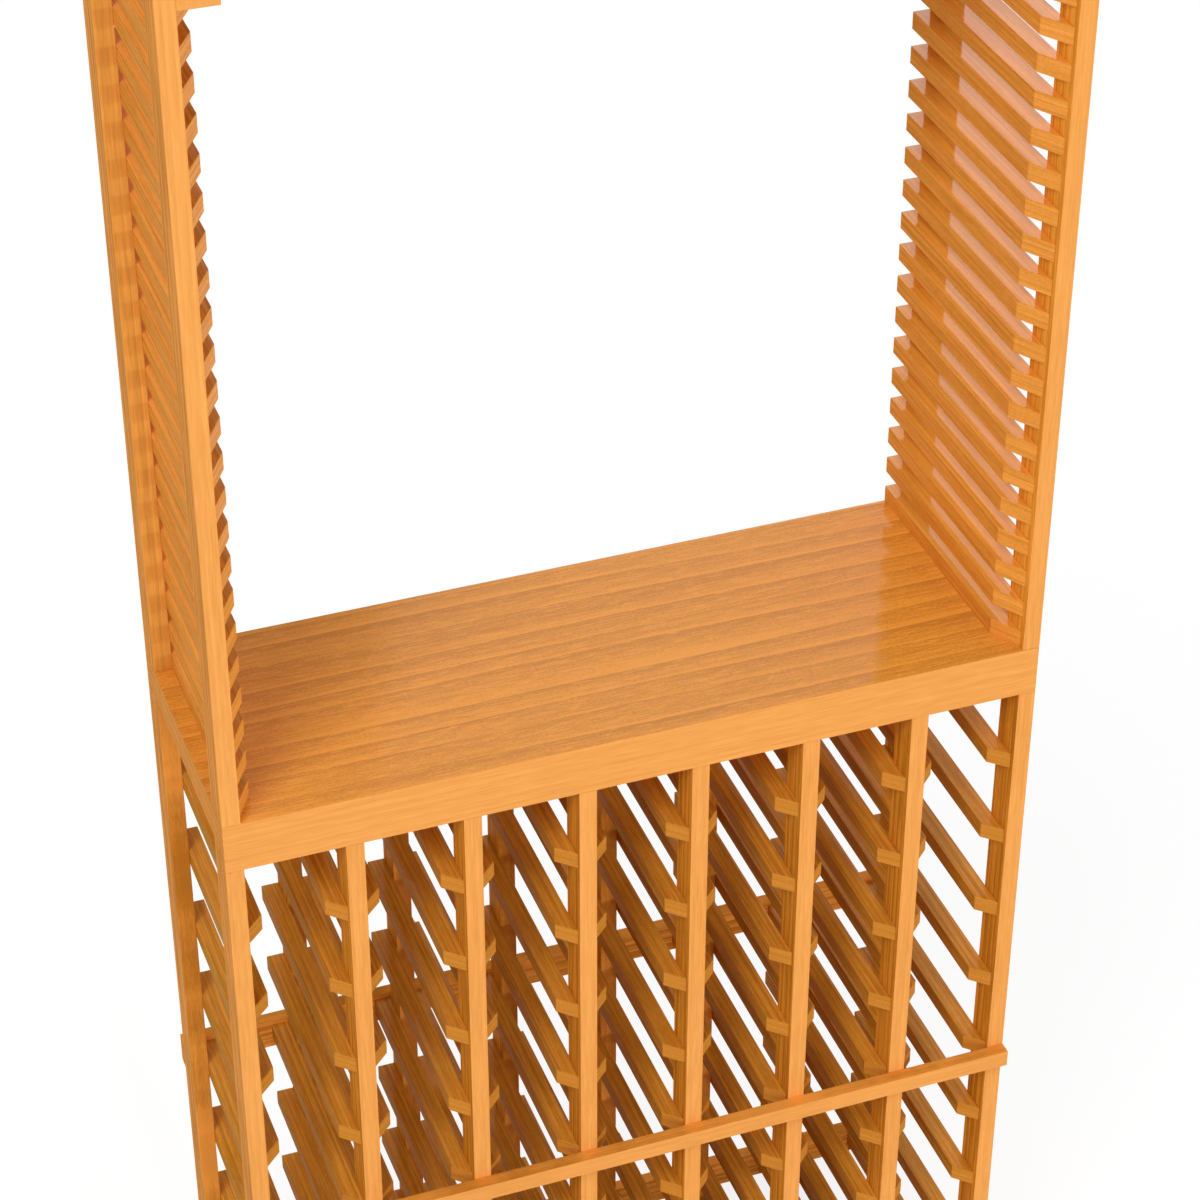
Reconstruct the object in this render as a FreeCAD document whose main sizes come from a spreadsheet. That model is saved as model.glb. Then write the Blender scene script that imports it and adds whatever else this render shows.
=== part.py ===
import FreeCAD, Part
import os
import Sketcher

# Wine tasting station: a rack of seven columns with a tasting table on top of it, and above the
# table two slatted side walls that carry a rack of slotted slats.
# Millimetres, +Z up, the front faces -Y. The origin is on the floor, at the middle of the base.

doc = FreeCAD.newDocument("wine_tasting_station")
dim = doc.addObject("Spreadsheet::Sheet", "dim")


# Driving dimensions

sizes = [
    # the whole station; the depth is over the posts, without the strips
    ("station_width", 800),
    ("station_height", 1747),
    ("rack_depth", 283.5),
    ("table_height", 914),
    # ladders of the lower rack
    ("column_count", 7),
    ("post_width", 17.4),
    ("post_depth", 35.6),
    # rails on the ladders
    ("row_count", 9),
    ("foot_height", 16.4),
    ("first_row_drop", 75.2),
    ("rack_rail_width", 17.4),
    ("rack_rail_height", 17.4),
    ("rack_rail_setback", 5.6),
    ("rack_rail_bevel", 16.5),
    # table
    ("slab_thickness", 34.8),
    ("edging_lip", 17.4),
    ("edging_thickness", 17.4),
    # strips that tie the ladders together
    ("row_count_below_strip", 4),
    ("strip_drop", 3.6),
    ("strip_thickness", 13.4),
    ("front_strip_height", 19),
    ("rear_strip_height", 34.8),
    # slatted side walls above the table
    ("wall_rail_count", 23),
    ("wall_rail_width", 17.4),
    ("wall_rail_height", 17.4),
    ("wall_rail_setback", 6.7),
    ("wall_rail_bevel", 29.7),
    # slatted rack at the top
    ("stem_slot_width", 25),
    ("slat_thickness", 17.4),
    ("spacer_width", 34.8),
    ("spacer_height", 17.4),
    ("batten_thickness", 17.4),
    # dowels: depth in a post, and the share of the slab that the lower and then the upper ones take
    ("dowel_diameter", 8),
    ("dowel_post_depth", 22),
    ("lower_dowel_share", 0.5),
    ("upper_dowel_share", 0.7),
    ("fit_gap", 0.1),
]

for row, (alias, value) in enumerate(sizes, start=1):
    dim.set("A%d" % row, alias)
    dim.set("B%d" % row, str(value))
    dim.setAlias("B%d" % row, alias)
doc.recompute()


# Places that several pieces share, written once as expressions on the sheet

left_side = "(-dim.station_width / 2)"
right_side = "(dim.station_width / 2)"
column_pitch = "((dim.station_width - dim.post_width) / dim.column_count)"
front_face = "(-dim.rack_depth / 2)"
rear_face = "(dim.rack_depth / 2)"
rear_post_front = "(dim.rack_depth / 2 - dim.post_depth)"

slab_bottom = "(dim.table_height - dim.slab_thickness)"
edging_bottom = "(%s - dim.edging_lip)" % slab_bottom
first_rail_bottom = "(%s - dim.first_row_drop - dim.rack_rail_height)" % edging_bottom
row_pitch = "((%s - dim.foot_height) / (dim.row_count - 1))" % first_rail_bottom
strip_offset = "(dim.rack_rail_height / 2 - dim.strip_drop)"
bottom_strip_level = "(dim.foot_height + %s)" % strip_offset
middle_strip_level = (
    "(%s + dim.row_count_below_strip * %s)" % (bottom_strip_level, row_pitch)
)

batten_bottom = "(dim.station_height - dim.batten_thickness)"
spacer_bottom = "(%s - dim.spacer_height)" % batten_bottom
slat_bottom = "(%s - dim.slat_thickness)" % spacer_bottom
wall_pitch = (
    "((%s - dim.wall_rail_height - dim.table_height) / (dim.wall_rail_count - 1))" % slat_bottom
)
upper_post_length = "(dim.station_height - dim.table_height)"

# A dowel stands in the middle of each post's tongue, behind the edging.
dowel_inset = "((dim.edging_thickness + dim.post_depth) / 2)"
front_dowel_line = "(%s + %s)" % (front_face, dowel_inset)
dowel_span = "(dim.rack_depth - 2 * %s)" % dowel_inset
post_middle = "(dim.post_width / 2)"
dowel_hole = "(dim.dowel_diameter + 2 * dim.fit_gap)"
post_hole_depth = "(dim.dowel_post_depth + dim.fit_gap)"
lower_dowel_rise = "(dim.slab_thickness * dim.lower_dowel_share)"
upper_dowel_drop = "(dim.slab_thickness * (1 - dim.lower_dowel_share) * dim.upper_dowel_share)"

# Index that a sketch gives to each kind of point on its lines and circles
start_index = 1
end_index = 2
centre_index = 3

parts = []


def number(expression):
    """The present value of an expression on the sheet."""
    return float(dim.evalExpression(expression))


def new_body(label):
    """An empty body whose label names its file."""
    body = doc.addObject("PartDesign::Body", label)
    body.Label = label
    body.AllowCompound = True
    parts.append(body)
    return body


def place(body, x, y, z):
    """Ties a body's place to the sheet."""
    for axis, expression in zip("xyz", (x, y, z)):
        body.setExpression("Placement.Base." + axis, expression)


def new_sketch(body, role, level=None):
    """A sketch on one of the body's own origin planes, raised to a level if one is given."""
    sketch = body.newObject("Sketcher::SketchObject", body.Label + "_sketch")
    plane = [f for f in body.Origin.OriginFeatures if f.Role == role][0]
    sketch.AttachmentSupport = [(plane, "")]
    sketch.MapMode = "FlatFace"
    if level:
        sketch.setExpression("AttachmentOffset.Base.z", level)
    return sketch


def pin(sketch, geometry, corner, x, y):
    """Holds a point of the sketch at two expressions; None keeps it on the axis."""
    for kind, axis, expression in (("DistanceX", -2, x), ("DistanceY", -1, y)):
        if expression is None:
            sketch.addConstraint(Sketcher.Constraint("PointOnObject", geometry, corner, axis))
            continue
        rule = Sketcher.Constraint(kind, -1, start_index, geometry, corner, number(expression))
        index = sketch.addConstraint(rule)
        sketch.setExpression("Constraints[%d]" % index, expression)


def outline(body, role, corners):
    """A closed outline of straight edges whose corners follow the sheet."""
    sketch = new_sketch(body, role)
    points = []
    for x, y in corners:
        points.append(FreeCAD.Vector(number(x) if x else 0, number(y) if y else 0, 0))
    count = len(points)
    for i in range(count):
        sketch.addGeometry(Part.LineSegment(points[i], points[(i + 1) % count]), False)
    for i in range(count):
        joint = Sketcher.Constraint("Coincident", i, end_index, (i + 1) % count, start_index)
        sketch.addConstraint(joint)
    for i, (x, y) in enumerate(corners):
        pin(sketch, i, start_index, x, y)
    return sketch


def circle(body, x, y, diameter, level=None):
    """A level circle whose centre and diameter follow the sheet."""
    sketch = new_sketch(body, "XY_Plane", level)
    centre = FreeCAD.Vector(number(x) if x else 0, number(y) if y else 0, 0)
    ring = Part.Circle(centre, FreeCAD.Vector(0, 0, 1), number(diameter) / 2)
    sketch.addGeometry(ring, False)
    pin(sketch, 0, centre_index, x, y)
    index = sketch.addConstraint(Sketcher.Constraint("Diameter", 0, number(diameter)))
    sketch.setExpression("Constraints[%d]" % index, diameter)
    return sketch


def pad(body, sketch, length):
    feature = body.newObject("PartDesign::Pad", body.Label + "_pad")
    feature.Profile = sketch
    feature.setExpression("Length", length)
    return feature


def pocket(body, sketch, depth, upwards):
    """A pocket of a given depth, up from its sketch or down from it."""
    feature = body.newObject("PartDesign::Pocket", body.Label + "_pocket")
    feature.Profile = sketch
    feature.setExpression("Length", depth)
    feature.Reversed = upwards
    return feature


def direct(pattern, body, role, pitch, count):
    """Sets a pattern's axis, spacing and count."""
    axis = [f for f in body.Origin.OriginFeatures if f.Role == role][0]
    pattern.Direction = (axis, [""])
    pattern.Mode = "Spacing"
    pattern.setExpression("Offset", pitch)
    pattern.setExpression("Occurrences", count)


def repeat(body, feature, role, pitch, count):
    """Copies of a feature along one of the body's own axes."""
    rows = body.newObject("PartDesign::LinearPattern", body.Label + "_pattern")
    rows.Originals = [feature]
    direct(rows, body, role, pitch, count)
    body.Tip = rows


def repeat_grid(body, feature, x_pitch, x_count, y_pitch):
    """Copies along X, and a second line of them further back."""
    grid = body.newObject("PartDesign::MultiTransform", body.Label + "_grid")
    grid.Originals = [feature]
    steps = []
    for role, pitch, count in (("X_Axis", x_pitch, x_count), ("Y_Axis", y_pitch, "2")):
        step = body.newObject("PartDesign::LinearPattern", body.Label + "_step")
        direct(step, body, role, pitch, count)
        steps.append(step)
    grid.Transformations = steps
    body.Tip = grid


def block(body, width, depth, height):
    """A plain block standing on the body's own origin."""
    corners = [(None, None), (width, None), (width, depth), (None, depth)]
    return pad(body, outline(body, "XY_Plane", corners), height)


def board(label, width, depth, height):
    """A body that starts as one plain block."""
    body = new_body(label)
    block(body, width, depth, height)
    return body


# Ladder posts, rebated at the top so that the edging laps in front of them under the slab

def lower_post(label, front, x, y):
    body = new_body(label)
    if front:
        corners = [
            (None, None),
            ("dim.post_depth", None),
            ("dim.post_depth", slab_bottom),
            ("dim.edging_thickness", slab_bottom),
            ("dim.edging_thickness", edging_bottom),
            (None, edging_bottom),
        ]
        dowel_place = dowel_inset
    else:
        shoulder = "(dim.post_depth - dim.edging_thickness)"
        corners = [
            (None, None),
            ("dim.post_depth", None),
            ("dim.post_depth", edging_bottom),
            (shoulder, edging_bottom),
            (shoulder, slab_bottom),
            (None, slab_bottom),
        ]
        dowel_place = "(dim.post_depth - %s)" % dowel_inset
    pad(body, outline(body, "YZ_Plane", corners), "dim.post_width")
    hole = circle(body, post_middle, dowel_place, dowel_hole, slab_bottom)
    pocket(body, hole, post_hole_depth, False)
    place(body, x, y, "0")


ladder_count = int(number("dim.column_count")) + 1
for ladder in range(ladder_count):
    ladder_x = "%s + %d * %s" % (left_side, ladder, column_pitch)
    lower_post("lower_front_post_%d" % (ladder + 1), True, ladder_x, front_face)
    lower_post("lower_rear_post_%d" % (ladder + 1), False, ladder_x, rear_post_front)


# Rails: square sticks on the faces of the posts, with the nose cut back on the open side

def rail_stack(label, prefix, side, x, z, pitch, count):
    """A stack of rails that lean on a post face at x and stand out of it on the given side."""
    body = new_body(label)
    out = "%s * dim.%s_width" % (side, prefix)
    nose = "(dim.%s_setback + dim.%s_bevel)" % (prefix, prefix)
    corners = [
        (None, "dim.%s_setback" % prefix),
        (out, nose),
        (out, "dim.rack_depth"),
        (None, "dim.rack_depth"),
    ]
    stick = pad(body, outline(body, "XY_Plane", corners), "dim.%s_height" % prefix)
    repeat(body, stick, "Z_Axis", pitch, count)
    place(body, x, front_face, z)


for column in range(ladder_count - 1):
    left_post_face = "%s + %d * %s + dim.post_width" % (left_side, column, column_pitch)
    right_post_face = "%s + %d * %s" % (left_side, column + 1, column_pitch)
    for name, side, face in (("left", "1", left_post_face), ("right", "-1", right_post_face)):
        rail_stack(
            "column_%d_%s_rails" % (column + 1, name), "rack_rail", side, face,
            "dim.foot_height", row_pitch, "dim.row_count",
        )

left_wall_face = "%s + dim.post_width" % left_side
right_wall_face = "%s - dim.post_width" % right_side
for name, side, face in (("left", "1", left_wall_face), ("right", "-1", right_wall_face)):
    rail_stack(
        "upper_%s_rails" % name, "wall_rail", side, face,
        "dim.table_height", wall_pitch, "dim.wall_rail_count",
    )


# Strips across the front and the back of the ladders

front_strip_face = "%s - dim.strip_thickness" % front_face
for name, level in (("middle", middle_strip_level), ("bottom", bottom_strip_level)):
    for end, y in (("front", front_strip_face), ("rear", rear_face)):
        height = "dim.%s_strip_height" % end
        label = "%s_%s_strip" % (end, name)
        strip = board(label, "dim.station_width", "dim.strip_thickness", height)
        place(strip, left_side, y, "%s - %s / 2" % (level, height))


# Table: a slab mitred to a front and a rear edging board, so that its top runs out to both edges

rear_inset = "(dim.rack_depth - dim.edging_thickness)"
mitre_drop = "(dim.slab_thickness / 2)"
wall_span = "(dim.station_width - dim.post_width)"
tabletop = new_body("tabletop")
corners = [
    ("dim.edging_thickness", None),
    (rear_inset, None),
    (rear_inset, mitre_drop),
    ("dim.rack_depth", "dim.slab_thickness"),
    (None, "dim.slab_thickness"),
    ("dim.edging_thickness", mitre_drop),
]
pad(tabletop, outline(tabletop, "YZ_Plane", corners), "dim.station_width")
lower_hole = circle(tabletop, post_middle, dowel_inset, dowel_hole)
lower_hole = pocket(tabletop, lower_hole, "(%s + dim.fit_gap)" % lower_dowel_rise, True)
repeat_grid(tabletop, lower_hole, column_pitch, "dim.column_count + 1", dowel_span)
upper_hole = circle(tabletop, post_middle, dowel_inset, dowel_hole, "dim.slab_thickness")
upper_hole = pocket(tabletop, upper_hole, "(%s + dim.fit_gap)" % upper_dowel_drop, False)
repeat_grid(tabletop, upper_hole, wall_span, "2", dowel_span)
place(tabletop, left_side, front_face, slab_bottom)

edging_height = "(dim.slab_thickness + dim.edging_lip)"
mitre_bottom = "(%s - %s)" % (edging_height, mitre_drop)
for name, y, inwards in (("front", front_face, "1"), ("rear", rear_face, "-1")):
    edging = new_body(name + "_edging")
    inner_face = "(%s * dim.edging_thickness)" % inwards
    corners = [
        (None, None),
        (inner_face, None),
        (inner_face, mitre_bottom),
        (None, edging_height),
    ]
    pad(edging, outline(edging, "YZ_Plane", corners), "dim.station_width")
    place(edging, left_side, y, edging_bottom)


# Posts of the side walls, standing on the table

def upper_post(label, front, x, y):
    body = board(label, "dim.post_width", "dim.post_depth", upper_post_length)
    dowel_place = dowel_inset if front else "(dim.post_depth - %s)" % dowel_inset
    pocket(body, circle(body, post_middle, dowel_place, dowel_hole), post_hole_depth, True)
    place(body, x, y, "dim.table_height")


for name, x in (("left", left_side), ("right", right_wall_face)):
    upper_post("upper_%s_front_post" % name, True, x, front_face)
    upper_post("upper_%s_rear_post" % name, False, x, rear_post_front)


# Rack at the top: slats with a slot over each column, hung from two battens by spacers

end_slat_width = "((%s - dim.post_width - dim.stem_slot_width) / 2)" % column_pitch
full_slat_width = "(%s - dim.stem_slot_width)" % column_pitch


def centred_on_ladder(ladder, width):
    """The left edge of a piece whose middle is over a ladder's posts."""
    middle = "%s + %d * %s + %s" % (left_side, ladder, column_pitch, post_middle)
    return "%s - %s / 2" % (middle, width)


for slat in range(ladder_count):
    width = full_slat_width
    x = centred_on_ladder(slat, width)
    if slat == 0:
        width = end_slat_width
        x = left_wall_face
    elif slat == ladder_count - 1:
        width = end_slat_width
        x = "%s - %s" % (right_wall_face, width)
    body = board("stem_slat_%d" % (slat + 1), width, "dim.rack_depth", "dim.slat_thickness")
    place(body, x, front_face, slat_bottom)

spacers = new_body("slat_spacers")
spacer = block(spacers, "dim.spacer_width", "dim.rack_depth", "dim.spacer_height")
repeat(spacers, spacer, "X_Axis", column_pitch, "dim.column_count - 1")
place(spacers, centred_on_ladder(1, "dim.spacer_width"), front_face, spacer_bottom)

batten_length = "(dim.station_width - 2 * dim.post_width)"
for name, y in (("front", front_face), ("rear", rear_post_front)):
    batten = board(name + "_batten", batten_length, "dim.post_depth", "dim.batten_thickness")
    place(batten, left_wall_face, y, batten_bottom)


# Dowels between the posts and the slab

def dowel_set(label, length, x_pitch, x_count, level):
    body = new_body(label)
    peg = pad(body, circle(body, None, None, "dim.dowel_diameter"), length)
    repeat_grid(body, peg, x_pitch, x_count, dowel_span)
    place(body, "%s + %s" % (left_side, post_middle), front_dowel_line, level)


dowel_set(
    "lower_dowels", "(dim.dowel_post_depth + %s)" % lower_dowel_rise,
    column_pitch, "dim.column_count + 1", "%s - dim.dowel_post_depth" % slab_bottom,
)
dowel_set(
    "upper_dowels", "(dim.dowel_post_depth + %s)" % upper_dowel_drop,
    wall_span, "2", "dim.table_height - %s" % upper_dowel_drop,
)


# Build, check every object, then write one file for each piece

doc.recompute()
for item in doc.Objects:
    if "Invalid" in item.State or "Error" in item.State:
        raise RuntimeError("%s did not build: %s" % (item.Label, item.State))
for body in parts:
    if body.Shape.isNull() or not body.Shape.isValid() or not body.Shape.Solids:
        raise RuntimeError("%s has no valid solid" % body.Label)

os.makedirs("parts", exist_ok=True)
for body in parts:
    body.Shape.exportStep("parts/%s.step" % body.Label)
    box = body.Shape.BoundBox
    print("%-26s solids %3d  volume %10.0f  box %s to %s" % (
        body.Label, len(body.Shape.Solids), body.Shape.Volume,
        [round(v, 1) for v in (box.XMin, box.YMin, box.ZMin)],
        [round(v, 1) for v in (box.XMax, box.YMax, box.ZMax)],
    ))
print("pieces:", len(parts))
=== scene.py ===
import math
import random

import bmesh
import bpy
from mathutils import Matrix, Vector


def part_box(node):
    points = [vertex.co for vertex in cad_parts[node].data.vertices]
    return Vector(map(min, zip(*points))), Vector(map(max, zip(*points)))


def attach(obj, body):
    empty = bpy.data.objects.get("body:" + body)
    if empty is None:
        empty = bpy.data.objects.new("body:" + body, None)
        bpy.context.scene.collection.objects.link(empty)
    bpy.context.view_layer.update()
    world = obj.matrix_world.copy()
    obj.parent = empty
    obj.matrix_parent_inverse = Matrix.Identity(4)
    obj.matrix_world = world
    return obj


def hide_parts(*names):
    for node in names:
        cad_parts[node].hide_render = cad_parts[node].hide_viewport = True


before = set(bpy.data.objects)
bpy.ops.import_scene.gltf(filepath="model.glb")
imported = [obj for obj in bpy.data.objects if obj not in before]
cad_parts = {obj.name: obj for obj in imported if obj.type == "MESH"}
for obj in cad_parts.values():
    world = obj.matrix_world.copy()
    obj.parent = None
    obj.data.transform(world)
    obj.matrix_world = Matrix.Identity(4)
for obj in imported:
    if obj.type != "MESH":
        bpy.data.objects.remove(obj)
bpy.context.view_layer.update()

variation = random.Random(7)
print("frame loaded:", len(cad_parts), "nodes")


# wood finishes
# rings: number per metre, and wander
# streaks, fibres and flecks: noise scale along and across the grain, and the strength of the flecks
# faceWeights: strength of the figure across the first and the second axis beside the grain

rackWood = {
    "name": "rackWood", "slot": "rack_wood",
    "dark": (0.600, 0.220, 0.024), "light": (0.925, 0.366, 0.062),
    "rings": (95, 2.2), "streaks": (6.0, 240), "fibres": (90, 700),
    "faceWeights": (0.60, 3.00), "ringShare": 0.22, "streakShare": 0.62, "fibreShare": 0.24,
    "roughness": (0.44, 0.56), "specular": 0.01, "bump": 0.10,
}
# painted light: a lighter, paler copy of the wood for the faces that look out front and back, standing for
# the front light and its sheen
litFronts = dict(
    rackWood, name="litFronts", dark=(0.740, 0.292, 0.060), light=(0.985, 0.432, 0.110),
    fibres=(30, 620), faceWeights=(0.55, 0.38), fibreShare=0.22, specular=0.02,
)
shadedFronts = dict(
    litFronts, name="shadedFronts", dark=(0.600, 0.256, 0.044), light=(0.970, 0.436, 0.083),
    faceWeights=(0.80, 0.38),
)
# painted light: the slats' ends take the lighter copy made for the front faces
litSlatEnds = dict(litFronts, name="litSlatEnds", fibres=(0, 900), faceWeights=(0.3, 0.3))
# painted shade: a darker copy of the wood for the post sides that face into a column
shadedColumnPosts = dict(
    rackWood, name="shadedColumnPosts", dark=(0.530, 0.192, 0.015), light=(0.830, 0.328, 0.034),
)
# painted light: a lighter copy of the wood for the inner sides of the upper front posts, standing for light
# thrown back from the table and walls
litInnerPosts = dict(
    rackWood, name="litInnerPosts", dark=(0.740, 0.270, 0.026), light=(1.000, 0.420, 0.056),
)
endGrain = dict(
    rackWood, name="endGrain", dark=(0.520, 0.195, 0.026), light=(0.860, 0.350, 0.070),
    fibres=(0, 900), faceWeights=(0.0, 1.20),
)
railWood = {
    "name": "railWood", "slot": "rail_wood",
    "dark": (0.630, 0.226, 0.024), "light": (0.925, 0.373, 0.058),
    "rings": (140, 2.2), "streaks": (7.0, 280), "fibres": (90, 700),
    "faceWeights": (0.10, 1.60), "ringShare": 0.18, "streakShare": 0.55, "fibreShare": 0.20,
    "roughness": (0.40, 0.52), "specular": 0.01, "bump": 0.10,
}
# painted light and sheen: a lighter, paler copy of the wood for the tops of the wall rails
litRailTops = dict(
    railWood, name="litRailTops", dark=(0.740, 0.300, 0.034), light=(0.940, 0.414, 0.062),
    faceWeights=(2.10, 0.0), roughness=(0.07, 0.12), specular=0.17, bump=0.03,
)
# painted shade: a darker copy for the tops of the left wall's rails, darkest near their noses
shadedTops = dict(
    litRailTops, name="shadedTops", dark=(0.550, 0.235, 0.044), light=(0.800, 0.355, 0.070),
    specular=0.03, paintedNoseShade=(-0.105, -0.075, 1.25),  # from and to along y, and the colour's factor beyond
)
# painted light: a lighter copy of the wood for the rails' noses
litRailNoses = dict(
    railWood, name="litRailNoses", dark=(0.675, 0.249, 0.031), light=(0.975, 0.405, 0.074),
    specular=0.09,
)
# painted shade: darker copies of the rail finishes for the rails inside the columns; their tops and noses
# are lighter than their sides, painted light
shadedColumnWood = dict(
    railWood, name="shadedColumnWood", dark=(0.420, 0.166, 0.014), light=(0.650, 0.282, 0.034),
)
shadedColumnTops = dict(
    litRailTops, name="shadedColumnTops", dark=(0.530, 0.204, 0.018), light=(0.800, 0.342, 0.043),
    specular=0.05,
)
shadedColumnNoses = dict(
    railWood, name="shadedColumnNoses", dark=(0.540, 0.203, 0.023), light=(0.775, 0.319, 0.048),
    faceWeights=(0.10, 0.90),
)
tableWood = {
    "name": "tableWood", "slot": "table_wood",
    "dark": (0.655, 0.258, 0.036), "light": (0.950, 0.405, 0.058),
    "rings": (36, 2.6), "streaks": (7.0, 210), "fibres": (320, 520), "flecks": (45, 750, 0.30),
    "faceWeights": (1.60, 0.0), "ringShare": 0.31, "streakShare": 0.32, "fibreShare": 0.32,
    "roughness": (0.07, 0.13), "specular": 0.09, "bump": 0.03,
}
# painted light: the edging takes the lighter copy made for the faces that look out front
litEdgingWood = dict(litFronts, name="litEdgingWood", slot="table_wood", faceWeights=(0.0, 0.65))
slabSides = dict(rackWood, name="slabSides", slot="table_wood", faceWeights=(0.7, 1.5))

woodFigure = {
    "ringShades": (
        (0.0, 1.0), (0.05, 0.82), (0.18, 0.60), (0.50, 0.48), (0.86, 0.24), (0.96, 0.16), (1.0, 1.0),
    ),
    "ringMiddle": 0.47, "ringDrift": (0.6, 0.45), "ringPatches": (2.0, 0.6), "patchStrength": (0.35, 1.4),
    "toneSpan": (0.49, 0.51), "fleckSpan": (0.55, 0.70), "fleckDrop": -0.1, "bumpDistance": 0.0004,
}
noiseValues = {"span": (0.3, 0.7), "middle": 0.5}  # where most of a noise texture's values lie


def addNode(tree, kind, **values):
    node = tree.nodes.new(kind)
    for key, value in values.items():
        setattr(node, key, value)
    return node


def scaledNoise(tree, vector, scale, detail, roughness=0.55, distortion=0.0):
    mapping = addNode(tree, "ShaderNodeMapping")
    mapping.inputs["Scale"].default_value = scale
    tree.links.new(vector, mapping.inputs["Vector"])
    noise = addNode(tree, "ShaderNodeTexNoise")
    noise.inputs["Scale"].default_value = 1.0
    noise.inputs["Detail"].default_value = detail
    noise.inputs["Roughness"].default_value = roughness
    noise.inputs["Distortion"].default_value = distortion
    tree.links.new(mapping.outputs["Vector"], noise.inputs["Vector"])
    return noise.outputs["Fac"]


def mathNode(tree, operation, first, second=0.0):
    node = addNode(tree, "ShaderNodeMath", operation=operation)
    for socket, value in zip(node.inputs, (first, second)):
        if isinstance(value, (int, float)):
            socket.default_value = value
        else:
            tree.links.new(value, socket)
    return node.outputs[0]


def mapRange(tree, value, span, newSpan):
    node = addNode(tree, "ShaderNodeMapRange")
    tree.links.new(value, node.inputs["Value"])
    for name, number in zip(("From Min", "From Max", "To Min", "To Max"), (*span, *newSpan)):
        node.inputs[name].default_value = number
    return node.outputs["Result"]


def shadeRamp(tree, value, stops):
    ramp = addNode(tree, "ShaderNodeValToRGB")
    elements = ramp.color_ramp.elements
    while len(elements) < len(stops):
        elements.new(0.5)
    for element, (spot, colour) in zip(elements, stops):
        element.position = spot
        element.color = (*colour, 1)
    tree.links.new(value, ramp.inputs["Fac"])
    return ramp.outputs["Color"]


def twoTone(tree, value, look):
    low, high = noiseValues["span"]
    return shadeRamp(tree, value, ((low, look["dark"]), (high, look["light"])))


def objectPlace(tree):
    place = addNode(tree, "ShaderNodeSeparateXYZ")
    tree.links.new(addNode(tree, "ShaderNodeTexCoord").outputs["Object"], place.inputs["Vector"])
    return place.outputs


def faceFigure(tree, grain, look, across):
    # growth rings fade from a light line to dark, across one axis, so each face has its own strength
    def scale(along, sideways):
        return (along, sideways, 0) if across == 1 else (along, 0, sideways)

    place = addNode(tree, "ShaderNodeSeparateXYZ")
    tree.links.new(grain, place.inputs["Vector"])
    rate, wander = look["rings"]
    along, share = woodFigure["ringDrift"]
    drift = scaledNoise(tree, grain, scale(along, rate * share), detail=2, roughness=0.5)
    turns = mathNode(tree, "MULTIPLY", place.outputs[across], rate)
    turns = mathNode(tree, "ADD", turns, mathNode(tree, "MULTIPLY", drift, wander))
    shades = [(spot, (shade, shade, shade)) for spot, shade in woodFigure["ringShades"]]
    rings = shadeRamp(tree, mathNode(tree, "FRACT", turns), shades)

    # the rings are stronger in some patches than in others
    along, share = woodFigure["ringPatches"]
    patches = scaledNoise(tree, grain, scale(along, rate * share), detail=1)
    strength = mapRange(tree, patches, noiseValues["span"], woodFigure["patchStrength"])
    ringPart = mathNode(tree, "SUBTRACT", rings, woodFigure["ringMiddle"])
    ringPart = mathNode(tree, "MULTIPLY", ringPart, look["ringShare"])
    ringPart = mathNode(tree, "MULTIPLY", ringPart, strength)

    streaks = scaledNoise(tree, grain, scale(*look["streaks"]), detail=4, roughness=0.6, distortion=0.2)
    streakPart = mathNode(tree, "SUBTRACT", streaks, noiseValues["middle"])
    streakPart = mathNode(tree, "MULTIPLY", streakPart, look["streakShare"])
    weight = look["faceWeights"][across - 1]
    return mathNode(tree, "MULTIPLY", mathNode(tree, "ADD", ringPart, streakPart), weight), streaks


def uprightGrain(tree):
    # a piece that keeps its solid has no grain attributes: its grain runs along z
    place = objectPlace(tree)
    turned = addNode(tree, "ShaderNodeCombineXYZ")
    for source, target in (("Z", "X"), ("X", "Y"), ("Y", "Z")):
        tree.links.new(place[source], turned.inputs[target])
    return turned.outputs["Vector"]


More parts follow.
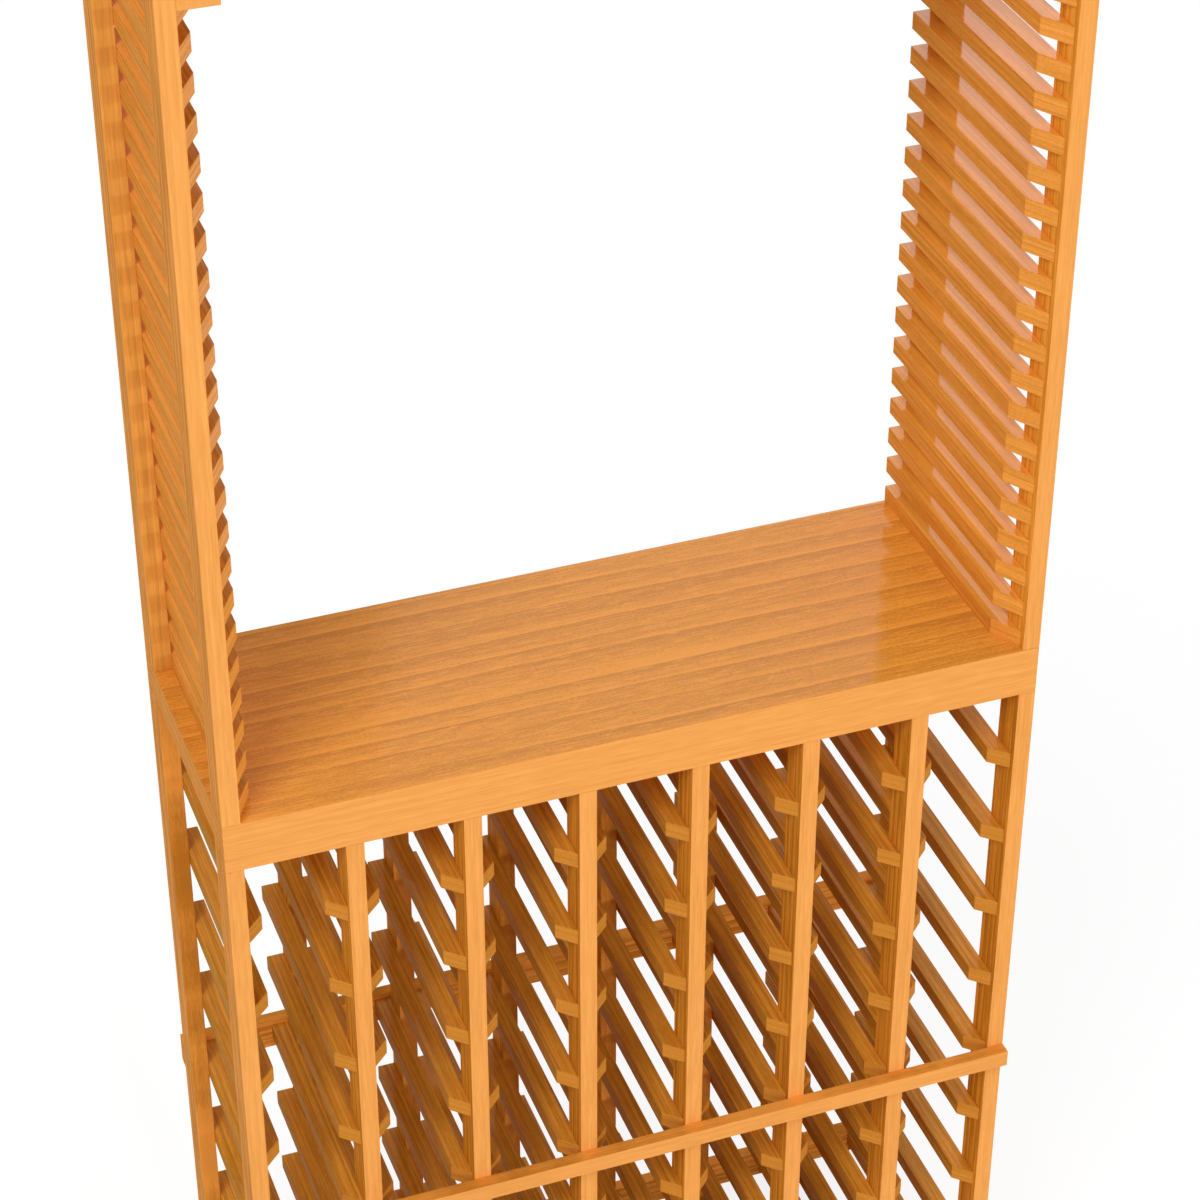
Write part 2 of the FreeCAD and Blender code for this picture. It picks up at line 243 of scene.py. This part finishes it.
def makeWood(look):
    material = bpy.data.materials.new(look["name"])
    material.use_nodes = True
    tree = material.node_tree
    shader = tree.nodes["Principled BSDF"]
    if look.get("upright"):
        grain = uprightGrain(tree)
    else:
        grain = addNode(tree, "ShaderNodeAttribute", attribute_name="grainPos").outputs["Vector"]
    tone = addNode(tree, "ShaderNodeAttribute", attribute_name="boardTone").outputs["Fac"]

    first, firstStreaks = faceFigure(tree, grain, look, 1)
    second, secondStreaks = faceFigure(tree, grain, look, 2)
    along, across = look["fibres"]
    fibres = scaledNoise(tree, grain, (along, across, across), detail=2, roughness=0.6)
    speck = look["fibreShare"]
    figure = mathNode(tree, "ADD", first, second)
    figure = mathNode(tree, "ADD", figure, mapRange(tree, fibres, (0, 1), (-speck, speck)))
    figure = mathNode(tree, "ADD", figure, mapRange(tree, tone, (0, 1), woodFigure["toneSpan"]))
    if "flecks" in look:
        along, across, gain = look["flecks"]
        flecks = scaledNoise(tree, grain, (along, across, across), detail=1, roughness=0.6)
        fleckShades = (woodFigure["fleckDrop"] * gain, gain)
        figure = mathNode(tree, "ADD", figure, mapRange(tree, flecks, woodFigure["fleckSpan"], fleckShades))

    colour = twoTone(tree, figure, look)
    if "paintedNoseShade" in look:
        # painted shade: the top is darker near its nose and lighter behind it
        start, end, factor = look["paintedNoseShade"]
        shadedColour = addNode(tree, "ShaderNodeVectorMath", operation="SCALE")
        tree.links.new(colour, shadedColour.inputs[0])
        shadeFactor = mapRange(tree, objectPlace(tree)["Y"], (start, end), (1, factor))
        tree.links.new(shadeFactor, shadedColour.inputs["Scale"])
        colour = shadedColour.outputs["Vector"]
    tree.links.new(colour, shader.inputs["Base Color"])

    # the light streaks are the smoother ones
    smooth, rough = look["roughness"]
    streaks = mathNode(tree, "MULTIPLY", mathNode(tree, "ADD", firstStreaks, secondStreaks), 0.5)
    gloss = mapRange(tree, streaks, noiseValues["span"], (rough, smooth))
    tree.links.new(gloss, shader.inputs["Roughness"])
    shader.inputs["Specular IOR Level"].default_value = look["specular"]

    bump = addNode(tree, "ShaderNodeBump")
    bump.inputs["Strength"].default_value = look["bump"]
    bump.inputs["Distance"].default_value = woodFigure["bumpDistance"]
    tree.links.new(fibres, bump.inputs["Height"])
    tree.links.new(bump.outputs["Normal"], shader.inputs["Normal"])
    return material


finishes = {}
for look in (
    rackWood, litFronts, shadedFronts, litSlatEnds, shadedColumnPosts, litInnerPosts, endGrain,
    railWood, litRailTops, shadedTops, litRailNoses, shadedColumnWood, shadedColumnTops, shadedColumnNoses,
    tableWood, litEdgingWood, slabSides,
):
    finishes[look["name"]] = (makeWood(look), look["slot"])
print("wood finishes:", len(finishes))


# boards: a prism with eased edges, and its grain running along one axis

board = {
    "easing": 0.0005, "easingSegments": 2, "grainShift": 40.0,
    "squareTo": 0.9, "slantedTo": 0.95,  # cosines: the first takes in the near half of each eased edge
}


def newBoardMesh():
    bm = bmesh.new()
    bm.verts.layers.float_vector.new("grainPos")
    bm.verts.layers.float.new("boardTone")
    return bm


def otherAxes(axis):
    return [other for other in range(3) if other != axis]


def axisVector(axis):
    unit = Vector((0, 0, 0))
    unit[axis] = 1
    return unit


def extrudedVerts(bm, face):
    made = bmesh.ops.extrude_face_region(bm, geom=[face])
    return [item for item in made["geom"] if isinstance(item, bmesh.types.BMVert)]


def addPrism(bm, corners, along, start, end, grainAxis):
    # corners lie in the plane across the axis "along", in the order of the other two axes
    first, second = otherAxes(along)
    verts = []
    for corner in corners:
        place = axisVector(along) * start
        place[first], place[second] = corner
        verts.append(bm.verts.new(place))
    moved = extrudedVerts(bm, bm.faces.new(verts))
    bmesh.ops.translate(bm, verts=moved, vec=axisVector(along) * (end - start))
    prismVerts = verts + moved
    bmesh.ops.recalc_face_normals(bm, faces=list({f for v in prismVerts for f in v.link_faces}))
    eased = bmesh.ops.bevel(
        bm, geom=list({e for v in prismVerts for e in v.link_edges}),
        offset=board["easing"], offset_type="OFFSET", segments=board["easingSegments"],
        profile=0.5, affect="EDGES", material=-1, clamp_overlap=True,
    )
    grain = {
        "order": [grainAxis] + otherAxes(grainAxis),
        "shift": Vector([variation.uniform(0, board["grainShift"]) for axis in range(3)]),
        "tone": variation.random(),
    }
    markGrain(bm, {v for f in eased["faces"] for v in f.verts}, grain)
    return grain


def markGrain(bm, verts, grain):
    grainLayer = bm.verts.layers.float_vector["grainPos"]
    toneLayer = bm.verts.layers.float["boardTone"]
    for vert in verts:
        vert[grainLayer] = Vector([vert.co[axis] for axis in grain["order"]]) + grain["shift"]
        vert[toneLayer] = grain["tone"]


def finishPiece(bm, name, finish, nodes):
    mesh = bpy.data.meshes.new(name)
    bm.to_mesh(mesh)
    bm.free()
    piece = bpy.data.objects.new(name, mesh)
    bpy.context.scene.collection.objects.link(piece)
    material, slot = finishes[finish]
    mesh.materials.append(material)
    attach(piece, "root")
    if nodes:
        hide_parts(*nodes)
    return piece


def dressToward(piece, finish, directions, closeness):
    # the faces that look one of these ways get a finish of their own; most of these finishes are lit and
    # shaded copies of the wood, which paint light and shade
    piece.data.materials.append(finishes[finish][0])
    for face in piece.data.polygons:
        if any(face.normal.dot(direction) > closeness for direction in directions):
            face.material_index = len(piece.data.materials) - 1


def dressFaces(piece, finish, axis, signs=(-1, 1)):
    dressToward(piece, finish, [axisVector(axis) * sign for sign in signs], board["squareTo"])


def outwardSigns(low, high):
    # a board of the front half shows its front, one of the rear half its back, a deep one both
    if high.y < 0:
        return (-1,)
    if low.y > 0:
        return (1,)
    return (-1, 1)


def rectangle(low, high):
    return [(low.x, low.y), (high.x, low.y), (high.x, high.y), (low.x, high.y)]


# countersunk screws: a cone sunk in the board's face, and a cross-slotted head just below that face

screw = {
    "sides": 28, "sinkRadius": 0.0042, "sinkFoot": 0.0020, "sinkDepth": 0.0026,
    "headRadius": 0.0039, "headFoot": 0.0018, "headEase": 0.00025, "headDrop": 0.0002, "headDepth": 0.0022,
    "slotReach": 0.0021, "slotHalf": 0.00055, "slotDepth": 0.0014, "slotTaper": 0.72,
}
screwHeads = bmesh.new()


def ring(bm, centre, axis, radius, depth):
    # depth runs into the board, against the axis that the face looks along
    out = axisVector(axis)
    turn = Vector((0, 0, 1)).rotation_difference(out).to_matrix().to_4x4()
    made = bmesh.ops.create_circle(
        bm, cap_ends=False, segments=screw["sides"], radius=radius,
        matrix=Matrix.Translation(Vector(centre) - out * depth) @ turn,
    )
    return list({edge for vert in made["verts"] for edge in vert.link_edges})


def sinkHoles(bm, grain, axis, centres):
    broad = max(bm.faces, key=lambda face: face.normal[axis] * face.calc_area())
    rims = list(broad.edges)
    bmesh.ops.delete(bm, geom=[broad], context="FACES_ONLY")
    cut = set()
    for centre in centres:
        mouth = ring(bm, centre, axis, screw["sinkRadius"], 0)
        foot = ring(bm, centre, axis, screw["sinkFoot"], screw["sinkDepth"])
        bmesh.ops.bridge_loops(bm, edges=mouth + foot)
        bmesh.ops.contextual_create(bm, geom=foot)
        rims += mouth
        cut.update(vert for edge in mouth + foot for vert in edge.verts)
    bmesh.ops.triangle_fill(bm, use_beauty=True, use_dissolve=False, edges=rims, normal=axisVector(axis))
    bmesh.ops.recalc_face_normals(bm, faces=bm.faces)
    markGrain(bm, cut, grain)


def addScrewHead(bm, centre, axis):
    out = axisVector(axis)
    turn = variation.uniform(0, math.pi / 2)
    drop, ease = screw["headDrop"], screw["headEase"]
    crown = ring(bm, centre, axis, screw["headRadius"] - ease, drop)
    rim = ring(bm, centre, axis, screw["headRadius"], drop + ease)
    foot = ring(bm, centre, axis, screw["headFoot"], screw["headDepth"])
    bmesh.ops.bridge_loops(bm, edges=crown + rim)
    bmesh.ops.bridge_loops(bm, edges=rim + foot)
    bmesh.ops.contextual_create(bm, geom=foot)

    # the cross slot: one arm turned four times, then pushed in and tapered
    first, second = otherAxes(axis)
    reach, half = screw["slotReach"], screw["slotHalf"]
    top = Vector(centre) - out * drop
    corners = []
    for quarter in range(4):
        spin = Matrix.Rotation(turn + quarter * math.pi / 2, 2)
        for corner in ((reach, -half), (reach, half), (half, half)):
            place = top.copy()
            place[first], place[second] = Vector((top[first], top[second])) + spin @ Vector(corner)
            corners.append(bm.verts.new(place))
    cross = bm.faces.new(corners)
    mouth = list(cross.edges)
    bottom = extrudedVerts(bm, cross)
    bmesh.ops.delete(bm, geom=[cross], context="FACES_ONLY")
    taper = Vector((1, 1, 1)) * screw["slotTaper"]
    bmesh.ops.scale(bm, vec=taper, space=Matrix.Translation(-top), verts=bottom)
    bmesh.ops.translate(bm, vec=-out * screw["slotDepth"], verts=bottom)
    bmesh.ops.triangle_fill(bm, use_beauty=True, use_dissolve=False, edges=mouth + crown, normal=out)


def plainBoard(node, name, finish, grainAxis, screwAxis=None, screwPlaces=()):
    low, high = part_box(node)
    bm = newBoardMesh()
    grain = addPrism(bm, rectangle(low, high), 2, low.z, high.z, grainAxis)
    if screwPlaces:
        centres = []
        for across in screwPlaces:
            centre = (low + high) / 2
            centre.x = across
            centre[screwAxis] = high[screwAxis]
            centres.append(centre)
            addScrewHead(screwHeads, centre, screwAxis)
        sinkHoles(bm, grain, screwAxis, centres)
    piece = finishPiece(bm, name, finish, [node])
    # painted light: the faces that look out front and back get the lighter copy
    dressFaces(piece, "litFronts", 1, outwardSigns(low, high))
    dressFaces(piece, "endGrain", grainAxis)
    return piece


# ladder posts of the lower rack, with the rebate that the edging laps into

ladders = {"count": 8}
ladders["columnSides"] = {1: (1,), ladders["count"]: (-1,)}  # an end ladder has a column on one side
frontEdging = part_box("front_edging")
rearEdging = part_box("rear_edging")

for number in range(1, ladders["count"] + 1):
    for end, edging in (("front", frontEdging), ("rear", rearEdging)):
        node = "lower_%s_post_%d" % (end, number)
        low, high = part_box(node)
        shoulder = edging[1].y if end == "front" else edging[0].y
        outer, inner = (low.y, high.y) if end == "front" else (high.y, low.y)
        bm = newBoardMesh()
        addPrism(bm, [
            (outer, low.z), (inner, low.z), (inner, high.z),
            (shoulder, high.z), (shoulder, edging[0].z), (outer, edging[0].z),
        ], 0, low.x, high.x, 2)
        post = finishPiece(bm, "lower%sPost%d" % (end.title(), number), "rackWood", [node])
        # painted light: the faces that look out front and back get the lighter copy
        dressFaces(post, "litFronts", 1, outwardSigns(low, high))
        dressFaces(post, "endGrain", 2)
        # painted shade: the sides that face into a column get the darker copy
        dressFaces(post, "shadedColumnPosts", 0, ladders["columnSides"].get(number, (-1, 1)))
print("lower posts:", 2 * ladders["count"])


# rails: square sticks whose noses are cut back on the open side

# painted shade: the rails inside the columns get the darker copies
rackRails = {
    "count": 9, "height": 0.0174, "bevel": 0.0165,
    "sides": "shadedColumnWood", "tops": "shadedColumnTops", "noses": "shadedColumnNoses",
}
wallRails = {
    "count": 23, "height": 0.0174, "bevel": 0.0297,
    "sides": "railWood", "tops": "litRailTops", "noses": "litRailNoses",
}
leftWallRails = dict(wallRails, tops="shadedTops")


def railStack(node, name, sizes, openToRight):
    low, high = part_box(node)
    held, clear = (low.x, high.x) if openToRight else (high.x, low.x)
    corners = [(held, low.y), (clear, low.y + sizes["bevel"]), (clear, high.y), (held, high.y)]
    pitch = (high.z - low.z - sizes["height"]) / (sizes["count"] - 1)
    bm = newBoardMesh()
    for row in range(sizes["count"]):
        bottom = low.z + row * pitch
        addPrism(bm, corners, 2, bottom, bottom + sizes["height"], 1)
    piece = finishPiece(bm, name, sizes["sides"], [node])
    # painted light and shade: the tops and noses get their own copies of the wood, lighter on the wall
    # rails, darker on the left wall's tops and in the columns
    dressFaces(piece, sizes["tops"], 2, (1,))
    cut = Vector((math.copysign(sizes["bevel"], clear - held), -abs(clear - held), 0))
    dressToward(piece, sizes["noses"], [cut.normalized()], board["slantedTo"])
    dressFaces(piece, "endGrain", 1, (1,))


for column in range(1, ladders["count"]):
    for side in ("left", "right"):
        node = "column_%d_%s_rails" % (column, side)
        railStack(node, "column%d%sRails" % (column, side.title()), rackRails, side == "left")
railStack("upper_left_rails", "upperLeftRails", leftWallRails, True)
railStack("upper_right_rails", "upperRightRails", wallRails, False)
print("rail stacks:", 2 * (ladders["count"] - 1) + 2)


# table: a slab mitred to an edging board at the front and at the rear

slabLow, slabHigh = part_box("tabletop")
mitreLevel = (slabLow.z + slabHigh.z) / 2
frontInner, rearInner = frontEdging[1].y, rearEdging[0].y
bm = newBoardMesh()
addPrism(bm, [
    (frontInner, slabLow.z), (rearInner, slabLow.z), (rearInner, mitreLevel),
    (slabHigh.y, slabHigh.z), (slabLow.y, slabHigh.z), (frontInner, mitreLevel),
], 0, slabLow.x, slabHigh.x, 0)
slab = finishPiece(bm, "tableSlab", "tableWood", ["tabletop"])
dressFaces(slab, "slabSides", 0)
dressFaces(slab, "slabSides", 2, (-1,))
for end, outer, inner in (("front", slabLow.y, frontInner), ("rear", slabHigh.y, rearInner)):
    low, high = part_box(end + "_edging")
    bm = newBoardMesh()
    addPrism(bm, [
        (outer, low.z), (inner, low.z), (inner, mitreLevel), (outer, high.z),
    ], 0, low.x, high.x, 0)
    # painted light: the edging gets the lighter copy
    edging = finishPiece(bm, end + "Edging", "litEdgingWood", [end + "_edging"])
    dressFaces(edging, "slabSides", 0)
print("table done")


# strips, upper posts, and the slatted rack at the top

stemSlats = {"count": 8}
spacers = {"count": 6, "width": 0.0348}
spacersLow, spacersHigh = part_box("slat_spacers")
spacers["pitch"] = (spacersHigh.x - spacersLow.x - spacers["width"]) / (spacers["count"] - 1)
spacers["starts"] = [spacersLow.x + n * spacers["pitch"] for n in range(spacers["count"])]
overSpacers = [start + spacers["width"] / 2 for start in spacers["starts"]]
overPosts = []
for number in range(1, ladders["count"] + 1):
    low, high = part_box("lower_rear_post_%d" % number)
    overPosts.append((low.x + high.x) / 2)

for end, inward in (("front", 1), ("rear", -1)):
    for level in ("middle", "bottom"):
        node = "%s_%s_strip" % (end, level)
        plainBoard(node, end + level.title() + "Strip", "rackWood", 0, 1, overPosts if end == "rear" else ())
    plainBoard(end + "_batten", end + "Batten", "rackWood", 0, 2, overSpacers)
    for side, inner in (("left", 1), ("right", -1)):
        node = "upper_%s_%s_post" % (side, end)
        post = plainBoard(node, "upper%s%sPost" % (side.title(), end.title()), "rackWood", 2)
        dressFaces(post, "shadedFronts", 1, (inward,))
        # painted light: the inner sides of the front posts get the lighter copy
        if end == "front":
            dressFaces(post, "litInnerPosts", 0, (inner,))
for number in range(1, stemSlats["count"] + 1):
    slat = plainBoard("stem_slat_%d" % number, "stemSlat%d" % number, "rackWood", 1)
    # painted light: the slats' ends get the lighter copy
    dressFaces(slat, "litSlatEnds", 1)

bm = newBoardMesh()
low, high = spacersLow.copy(), spacersHigh.copy()
for start in spacers["starts"]:
    low.x = start
    high.x = start + spacers["width"]
    addPrism(bm, rectangle(low, high), 2, low.z, high.z, 1)
dressFaces(finishPiece(bm, "slatSpacers", "railWood", ["slat_spacers"]), "endGrain", 1)
print("boards done")


# screw heads, in plated steel

screwSteel = {
    "dark": (0.42, 0.41, 0.39), "light": (0.68, 0.67, 0.64),
    "roughness": (0.24, 0.42), "mottleScale": 900,
}


def makeSteel(look):
    material = bpy.data.materials.new("screwSteel")
    material.use_nodes = True
    tree = material.node_tree
    shader = tree.nodes["Principled BSDF"]
    place = addNode(tree, "ShaderNodeTexCoord").outputs["Object"]
    mottle = scaledNoise(tree, place, (look["mottleScale"],) * 3, detail=3)
    tree.links.new(twoTone(tree, mottle, look), shader.inputs["Base Color"])
    sheen = mapRange(tree, mottle, noiseValues["span"], look["roughness"])
    tree.links.new(sheen, shader.inputs["Roughness"])
    shader.inputs["Metallic"].default_value = 1.0
    return material


bmesh.ops.recalc_face_normals(screwHeads, faces=screwHeads.faces)
finishes["screwSteel"] = (makeSteel(screwSteel), "screw_steel")
finishPiece(screwHeads, "screwHeads", "screwSteel", [])
print("screws done")


# dowels keep their solids

dowelWood = dict(
    rackWood, name="dowelWood", upright=True, dark=(0.50, 0.30, 0.12), light=(0.74, 0.52, 0.28),
)
dowelMaterial = makeWood(dowelWood)
for node in ("lower_dowels", "upper_dowels"):
    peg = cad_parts[node]
    peg.data.materials.clear()
    peg.data.materials.append(dowelMaterial)
print("dowels done")


# floor, light and camera

studio = {
    "floorSize": 14.0, "floorDrop": 0.0005, "floorTone": 0.86, "floorRoughness": 0.9,
    "glowShare": 0.75, "glowLevel": 1.12, "shadowReach": (0.9, 3.0), "worldLevel": 0.40,
}
lamps = {
    "frontKey": {"place": (-0.4, -13.5, 3.9), "aimHeight": 0.9, "size": 1.2, "power": 332},
    "rightFill": {"place": (9.4, -7.4, 1.9), "aimHeight": 1.2, "size": 0.7, "power": 260},
    "leftFill": {"place": (-5.15, -5.6, 8.6), "aimHeight": 1.0, "size": 4.0, "power": 500},
    "rearRim": {"place": (2.1, 4.7, 4.1), "aimHeight": 1.0, "size": 1.9, "power": 20},
    "rearFill": {"place": (6.5, 6.0, 2.9), "aimHeight": 0.9, "size": 4.0, "power": 140, "mirrored": False},
}
view = {"place": (-0.87111, -2.41303, 2.76756), "pitch": 55.0, "turn": -20.0, "lens": 100.0, "sensor": 36.0}


def seenDirectly(tree):
    # 1 for the rays that show the surface, 0 for those that only carry its light
    path = addNode(tree, "ShaderNodeLightPath")
    seen = mathNode(tree, "MAXIMUM", path.outputs["Is Camera Ray"], path.outputs["Is Glossy Ray"])
    return mathNode(tree, "MAXIMUM", seen, path.outputs["Is Transmission Ray"])


def makeFloor():
    bm = bmesh.new()
    bmesh.ops.create_grid(bm, x_segments=1, y_segments=1, size=studio["floorSize"])
    mesh = bpy.data.meshes.new("studioFloor")
    bm.to_mesh(mesh)
    bm.free()
    floor = bpy.data.objects.new("studioFloor", mesh)
    floor.location.z = -studio["floorDrop"]
    bpy.context.scene.collection.objects.link(floor)
    material = bpy.data.materials.new("studioFloor")
    material.use_nodes = True
    tree = material.node_tree
    shader = tree.nodes["Principled BSDF"]
    shader.inputs["Base Color"].default_value = (*[studio["floorTone"]] * 3, 1)
    shader.inputs["Roughness"].default_value = studio["floorRoughness"]
    shader.inputs["Specular IOR Level"].default_value = 0.0
    # the floor shows the shadow near the object, and fades to plain white away from it
    glow = addNode(tree, "ShaderNodeEmission")
    away = addNode(tree, "ShaderNodeVectorMath", operation="LENGTH")
    tree.links.new(addNode(tree, "ShaderNodeTexCoord").outputs["Object"], away.inputs[0])
    distance = away.outputs["Value"]
    level = mapRange(tree, distance, studio["shadowReach"], (studio["glowLevel"], 1.0))
    tree.links.new(level, glow.inputs["Strength"])
    share = mapRange(tree, distance, studio["shadowReach"], (studio["glowShare"], 1.0))
    mix = addNode(tree, "ShaderNodeMixShader")
    tree.links.new(mathNode(tree, "MULTIPLY", seenDirectly(tree), share), mix.inputs["Fac"])
    tree.links.new(shader.outputs["BSDF"], mix.inputs[1])
    tree.links.new(glow.outputs["Emission"], mix.inputs[2])
    tree.links.new(mix.outputs["Shader"], tree.nodes["Material Output"].inputs["Surface"])
    mesh.materials.append(material)


def makeWorld():
    world = bpy.data.worlds.new("studioWorld")
    bpy.context.scene.world = world
    world.use_nodes = True
    tree = world.node_tree
    ground = tree.nodes["Background"]
    ground.inputs["Color"].default_value = (1, 1, 1, 1)
    level = mapRange(tree, seenDirectly(tree), (0, 1), (studio["worldLevel"], 1.0))
    tree.links.new(level, ground.inputs["Strength"])


def softbox(name, lamp):
    data = bpy.data.lights.new(name, "AREA")
    data.shape = "SQUARE"
    data.size = lamp["size"]
    data.energy = lamp["power"]
    box = bpy.data.objects.new(name, data)
    box.location = lamp["place"]
    aim = Vector((0, 0, lamp["aimHeight"])) - Vector(lamp["place"])
    box.rotation_euler = aim.to_track_quat("-Z", "Y").to_euler()
    box.visible_camera = False
    box.visible_glossy = lamp.get("mirrored", True)
    bpy.context.scene.collection.objects.link(box)


makeFloor()
makeWorld()
for name, lamp in lamps.items():
    softbox(name, lamp)

cameraData = bpy.data.cameras.new("photoCamera")
cameraData.lens = view["lens"]
cameraData.sensor_width = view["sensor"]
camera = bpy.data.objects.new("photoCamera", cameraData)
camera.location = view["place"]
camera.rotation_euler = (math.radians(view["pitch"]), 0, math.radians(view["turn"]))
bpy.context.scene.collection.objects.link(camera)
bpy.context.scene.camera = camera
bpy.context.scene.view_settings.view_transform = "Standard"
print("studio ready")
